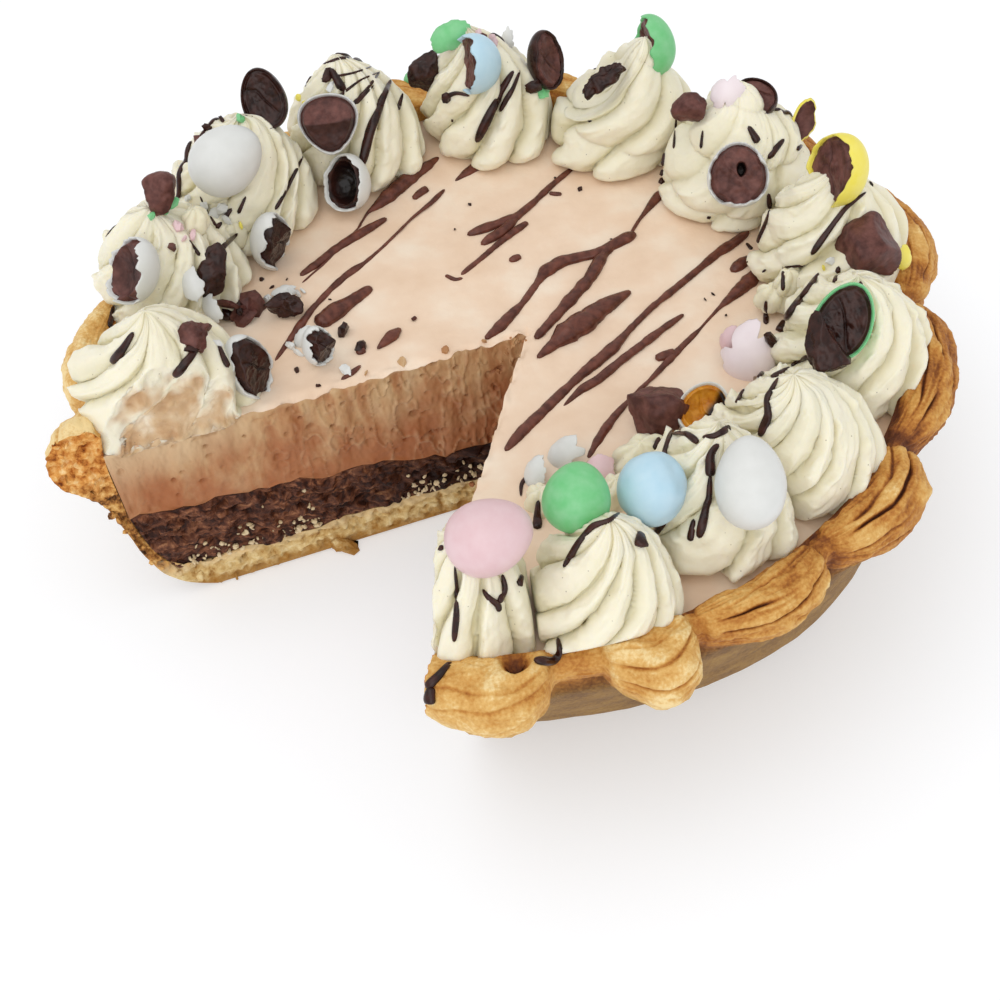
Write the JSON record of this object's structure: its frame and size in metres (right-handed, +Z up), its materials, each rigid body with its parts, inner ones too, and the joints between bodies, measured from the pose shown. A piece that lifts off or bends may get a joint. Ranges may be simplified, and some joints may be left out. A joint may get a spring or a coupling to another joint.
{
  "type": "chocolate cream pie",
  "caption": "Deep chocolate cream pie in a fluted pastry crust with a slice cut out, ringed with piped cream swirls and candy egg pieces.",
  "frame": {"origin": "on the ground under the middle of the pie's box, which is within 1.5 mm of the axis of the round crust", "axes": "+Z up out of the pie, the missing slice towards -X and -Y, +X to the right in the picture"},
  "size_m": [0.246, 0.2513, 0.1076],
  "materials": {
    "crust": "matte baked pastry",
    "fudge": "moist, slightly glossy",
    "mousse": "smooth, soft sheen",
    "cream": "soft whipped cream",
    "candy_pink": "matt sugar shell",
    "candy_green": "matt sugar shell",
    "candy_blue": "matt sugar shell",
    "candy_white": "matt sugar shell",
    "candy_yellow": "matt sugar shell",
    "chocolate": "matt chocolate"
  },
  "bodies": {
    "root": {"crust": "crust", "fudge_layer": "fudge", "mousse_layer": "mousse", "cream_swirl_01": "cream", "cream_swirl_02": "cream", "cream_swirl_03": "cream", "cream_swirl_04": "cream", "cream_swirl_05": "cream", "cream_swirl_06": "cream", "cream_swirl_07": "cream", "cream_swirl_08": "cream", "cream_swirl_09": "cream", "cream_swirl_10": "cream", "cream_swirl_11": "cream", "cream_swirl_12": "cream", "cream_swirl_13": "cream", "egg_pink": "candy_pink", "egg_green": "candy_green", "egg_blue": "candy_blue", "egg_white_front": "candy_white", "egg_white_left": "candy_white", "chunk_dark_front": "chocolate", "cup_amber": "candy_white", "shell_blush_right": "candy_pink", "chunk_right": "chocolate", "half_mint": "candy_green", "chunk_yellow_edge": "chocolate", "half_yellow": "candy_yellow", "half_holed": "candy_white", "shell_pink_back": "candy_pink", "half_brown_back": "chocolate", "shell_yellow_edge": "candy_yellow", "chunk_brown_back": "chocolate", "half_green": "candy_green", "chunk_bark": "chocolate", "half_brown_upright": "chocolate", "half_blue": "candy_blue", "shell_green": "candy_green", "chunk_green_edge": "chocolate", "half_flat_topped": "candy_white", "half_hollow": "candy_white", "half_bubbled": "chocolate", "chunk_green_back": "chocolate", "half_white_torn": "candy_white", "chunk_dark_left": "chocolate", "shell_white_left": "candy_white", "half_standing": "candy_white", "chunk_on_mousse": "chocolate", "half_small": "candy_white", "half_dark_big": "candy_white", "chunk_small_left": "chocolate", "shell_pink_front": "candy_pink"}
  },
  "joints": []
}
